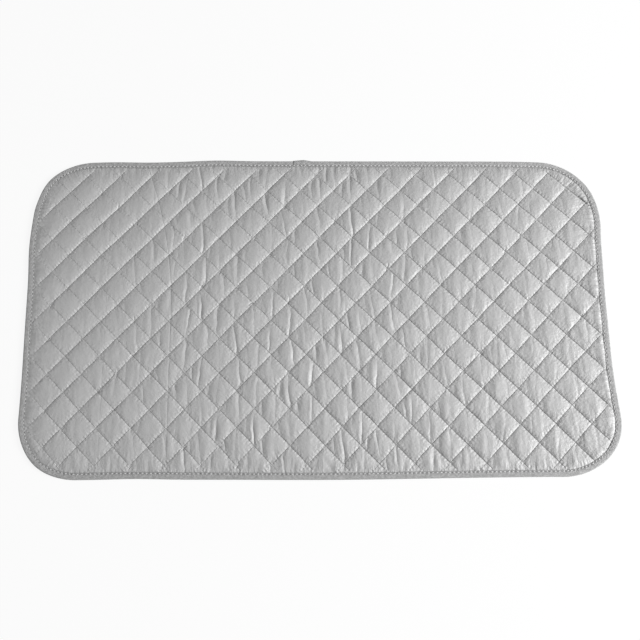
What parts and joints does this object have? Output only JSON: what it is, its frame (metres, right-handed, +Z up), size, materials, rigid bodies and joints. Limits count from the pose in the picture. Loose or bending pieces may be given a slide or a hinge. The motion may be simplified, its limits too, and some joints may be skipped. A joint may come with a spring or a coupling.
{
  "type": "ironing pad",
  "caption": "Quilted ironing pad with a heat-reflecting grey cover, sewn in diamonds over wadding on a cloth backing, its rounded edge bound in folded tape; lies flat on a table.",
  "frame": {"origin": "middle of the pad's outline, on the surface it lies on", "axes": "+X along the length, +Y across the width to the side with the tape's lap, +Z up through the quilted face"},
  "size_m": [0.84, 0.4805, 0.0068],
  "materials": {
    "coated_cover": "cotton with a thin silver-grey heat-reflecting coating, soft satin sheen",
    "wadding": "off-white fibre wadding, matte",
    "backing_cloth": "plain-woven off-white cotton, matte",
    "binding_tape": "woven grey tape, matte",
    "thread": "twisted grey sewing thread, slight sheen"
  },
  "bodies": {
    "root": {"backing": "backing_cloth", "edge_binding": "binding_tape", "edge_seam": "thread", "falling_seam_01": "thread", "falling_seam_02": "thread", "falling_seam_03": "thread", "falling_seam_04": "thread", "falling_seam_05": "thread", "falling_seam_06": "thread", "falling_seam_07": "thread", "falling_seam_08": "thread", "falling_seam_09": "thread", "falling_seam_10": "thread", "falling_seam_11": "thread", "falling_seam_12": "thread", "falling_seam_13": "thread", "falling_seam_14": "thread", "falling_seam_15": "thread", "falling_seam_16": "thread", "falling_seam_17": "thread", "falling_seam_18": "thread", "falling_seam_19": "thread", "falling_seam_20": "thread", "falling_seam_21": "thread", "falling_seam_22": "thread", "falling_seam_23": "thread", "falling_seam_24": "thread", "rising_seam_01": "thread", "rising_seam_02": "thread", "rising_seam_03": "thread", "rising_seam_04": "thread", "rising_seam_05": "thread", "rising_seam_06": "thread", "rising_seam_07": "thread", "rising_seam_08": "thread", "rising_seam_09": "thread", "rising_seam_10": "thread", "rising_seam_11": "thread", "rising_seam_12": "thread", "rising_seam_13": "thread", "rising_seam_14": "thread", "rising_seam_15": "thread", "rising_seam_16": "thread", "rising_seam_17": "thread", "rising_seam_18": "thread", "rising_seam_19": "thread", "rising_seam_20": "thread", "rising_seam_21": "thread", "rising_seam_22": "thread", "rising_seam_23": "thread", "top_cover": "coated_cover", "wadding": "wadding"}
  },
  "joints": []
}
